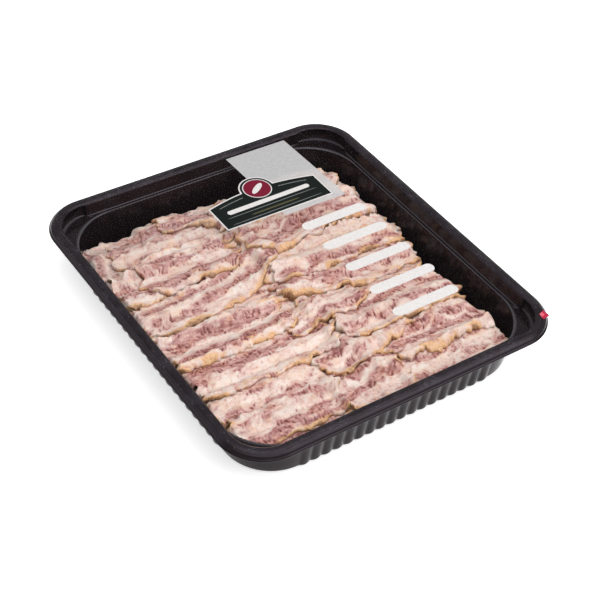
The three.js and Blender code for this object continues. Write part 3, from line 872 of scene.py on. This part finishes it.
def turned_about(centre, angle, places):
    """The places turned by the angle, then moved from the origin to the centre."""
    c, s = math.cos(angle), math.sin(angle)
    return [(centre[0] + x * c - y * s, centre[1] + x * s + y * c) for x, y in places]


def pointed_bar(centre, length, width, angle=0.0, waist=0.5, count=24):
    """The outline of a bar, along X before it is turned, that tapers to a point at each end."""
    half = []
    for share in np.linspace(-1, 1, count):
        half.append((share * length / 2, width / 2 * (1 - abs(share) ** 2.2) ** waist))
    whole = [(x, -y) for x, y in half] + [(x, y) for x, y in reversed(half[1:-1])]
    return np.array(turned_about(centre, angle, whole))


def round_bar(centre, length, width, count=20):
    """The outline of a bar along X with round ends."""
    straight = (length - width) / 2
    path = []
    for side in (1, -1):
        for bend in np.linspace(-math.pi / 2, math.pi / 2, count):
            path.append((
                centre[0] + side * (straight + width / 2 * math.cos(bend)),
                centre[1] + side * width / 2 * math.sin(bend),
            ))
    return np.array(path)


def arch_at(share):
    """How far back the panel's arched edge lies, at that share of the way from its left side to its right."""
    shoulder = PANEL_SHOULDER_LEFT + (PANEL_SHOULDER_RIGHT - PANEL_SHOULDER_LEFT) * share
    return shoulder + PANEL_ARCH * (1 - (2 * share - 1) ** 2)


def panel_outline(margin):
    """The panel's outline, that far inside its edge, with an arched back and a round head for the badge."""
    left, right = PANEL_LEFT + margin, PANEL_RIGHT - margin
    radius = BADGE_RADIUS - margin
    outline = [(left, PANEL_FRONT_LEFT + margin), (right, PANEL_FRONT_RIGHT + margin)]
    head = []
    for share in np.linspace(1, 0, 120):
        x = left + (right - left) * share
        y = arch_at(share) - margin
        if abs(x - BADGE[0]) < radius:
            y = max(y, BADGE[1] + math.sqrt(radius**2 - (x - BADGE[0]) ** 2))
        head.append((x, y))
    return along_path(outline + head + [outline[0]], 420)


def along_arch(start, end, drop, thickness, count=30):
    """The outline of a thin line that follows the panel's arch between two places, that far below it."""
    line = []
    for x in np.linspace(start, end, count):
        line.append((x, arch_at((x - PANEL_LEFT) / (PANEL_RIGHT - PANEL_LEFT)) - drop))
    return np.array(line + [(x, y - thickness) for x, y in reversed(line)])


white_veil = ink("white_veil", (0.5, 0.495, 0.5), 0.62, 0.5)
white_ink = ink("white_ink", (0.63, 0.61, 0.6), 0.96)
bar_ink = ink("bar_ink", (0.66, 0.64, 0.63), 0.88)
dark_ink = ink("dark_ink", (0.0022, 0.0055, 0.0048), 1.0, 0.38)
crimson_ink = ink("crimson_ink", (0.155, 0.004, 0.022), 1.0)
buff_ink = ink("buff_ink", (0.085, 0.075, 0.036), 1.0)
grey_ink = ink("grey_ink", (0.2, 0.215, 0.21), 1.0)

printed("print_band", along_path(BAND + [BAND[0]], 160), 0, white_veil)
printed("print_border", panel_outline(0.0), 1, white_ink)
printed("print_panel", panel_outline(BORDER), 2, dark_ink)
printed("print_badge_ring", disc(BADGE, BADGE_RING), 3, white_ink)
printed("print_badge_field", disc(BADGE, BADGE_FIELD), 4, crimson_ink)
printed("print_badge_mark", pointed_bar(BADGE, 15.0, 5.0, math.radians(35)), 5, white_ink)
printed("print_wide_bar", round_bar((LINES_MIDDLE, 75.0), 74.0, 4.6), 3, white_ink)
for name, y, length, width, colour in (
    ("print_upper_line", 69.4, 82.0, 0.55, grey_ink),
    ("print_buff_line", 65.2, 44.0, 1.5, buff_ink),
    ("print_lower_line", 61.4, 82.0, 0.55, grey_ink),
):
    printed(name, pointed_bar((LINES_MIDDLE, y), length, width, waist=0.3), 3, colour)
printed("print_left_arc", along_arch(-12.0, 10.5, ARC_DROP, ARC_WIDTH), 3, grey_ink)
printed("print_right_arc", along_arch(42.5, 66.0, ARC_DROP, ARC_WIDTH), 3, grey_ink)
BAR_MIDDLES = [(61.5, -77.5), (61.0, -50.5), (60.5, -21.5), (60.0, 6.5), (59.0, 33.0)]
for number, middle in enumerate(BAR_MIDDLES, start=1):
    printed(f"print_bar_{number}", round_bar(middle, BAR_LENGTH, BAR_WIDTH), 1, bar_ink)

# The peel tab
# A small red tab at the film's front right corner, printed on the film, where it is lifted to open the pack.
# It is a short kite that points towards the corner of the flange, and its inner end is paler.
TAB_MIDDLE = (125.2, -132.1)
TAB_HEADING = math.radians(-40)
tab_red = ink("tab_red", (0.42, 0.012, 0.05), 1.0)
tab_pink = ink("tab_pink", (0.62, 0.12, 0.15), 1.0)


def kite(centre, length, width):
    """The outline of a kite with its long point towards the corner."""
    corners = [(length * 0.6, 0), (0, width / 2), (-length * 0.4, 0), (0, -width / 2)]
    path = turned_about(centre, TAB_HEADING, corners)
    return along_path(path + [path[0]], 48)


printed("peel_tab", kite(TAB_MIDDLE, 7.4, 9.4), 1, tab_red)
printed("peel_tab_end", kite((TAB_MIDDLE[0] - 0.9, TAB_MIDDLE[1] + 0.8), 3.8, 5.0), 2, tab_pink)

# The stage
# A plain pale floor, which glows faintly so that it stays white, soft light from above, from the front right
# and from the back left, and the camera where the photo's was.
FLOOR_HALF = 12.0
bm = bmesh.new()
bmesh.ops.create_grid(bm, x_segments=24, y_segments=24, size=FLOOR_HALF)
floor = new_piece("pale_floor", bm)
pale_floor, shader, surface = new_finish("pale_floor")
feed(shader, surface, {
    "Base Color": (0.92, 0.92, 0.92, 1),
    "Roughness": 0.9,
    "Emission Color": (1, 1, 1, 1),
    "Emission Strength": 0.55,
})
floor.data.materials.append(pale_floor)

world = bpy.data.worlds.new("studio")
world.use_nodes = True
feed(world.node_tree, world.node_tree.nodes["Background"], {"Color": (1, 1, 1, 1), "Strength": 0.42})
bpy.context.scene.world = world
bpy.context.scene.view_settings.view_transform = "Standard"


def softbox(name, place, size, watts):
    """A square soft light that faces the middle of the tray."""
    light = bpy.data.lights.new(name, "AREA")
    light.size = size
    light.energy = watts
    lamp = bpy.data.objects.new(name, light)
    lamp.location = place
    lamp.rotation_euler = Vector(place).to_track_quat("Z", "Y").to_euler()
    bpy.context.scene.collection.objects.link(lamp)


softbox("overhead", (0.2, -0.5, 1.9), 2.9, 51)
softbox("front_right", (1.2, -1.75, 1.5), 1.2, 12)
softbox("back_left", (-1.5, 1.3, 1.0), 1.2, 4)

# The camera's own axes, and its place along them from the middle of the film, in metres
IMAGE_WIDTH = 600
LENS_IN_PIXELS = 1371.79
SENSOR_WIDTH = 36
AZIMUTH = math.radians(52.788 - 90)
ELEVATION = math.radians(42.012)
ROLL = math.radians(-4.871)
SHIFT_RIGHT, SHIFT_UP, DISTANCE = 0.004599, -0.024235, 0.995416
FILM_MIDDLE = Vector((0, 0, 0.042))
camera_data = bpy.data.cameras.new("photo_camera")
camera_data.sensor_width = SENSOR_WIDTH
camera_data.lens = LENS_IN_PIXELS * SENSOR_WIDTH / IMAGE_WIDTH
camera_data.clip_start = 0.01
camera = bpy.data.objects.new("photo_camera", camera_data)
bpy.context.scene.collection.objects.link(camera)
back = Vector((
    math.sin(AZIMUTH) * math.cos(ELEVATION),
    -math.cos(AZIMUTH) * math.cos(ELEVATION),
    math.sin(ELEVATION),
))
level = Vector((math.cos(AZIMUTH), math.sin(AZIMUTH), 0))
upright = back.cross(level)
rightward = math.cos(ROLL) * level - math.sin(ROLL) * upright
upward = math.sin(ROLL) * level + math.cos(ROLL) * upright
spot = rightward * SHIFT_RIGHT + upward * SHIFT_UP + back * DISTANCE + FILM_MIDDLE
camera.matrix_world = Matrix((
    (rightward.x, upward.x, back.x, spot.x),
    (rightward.y, upward.y, back.y, spot.y),
    (rightward.z, upward.z, back.z, spot.z),
    (0, 0, 0, 1),
))
bpy.context.scene.camera = camera
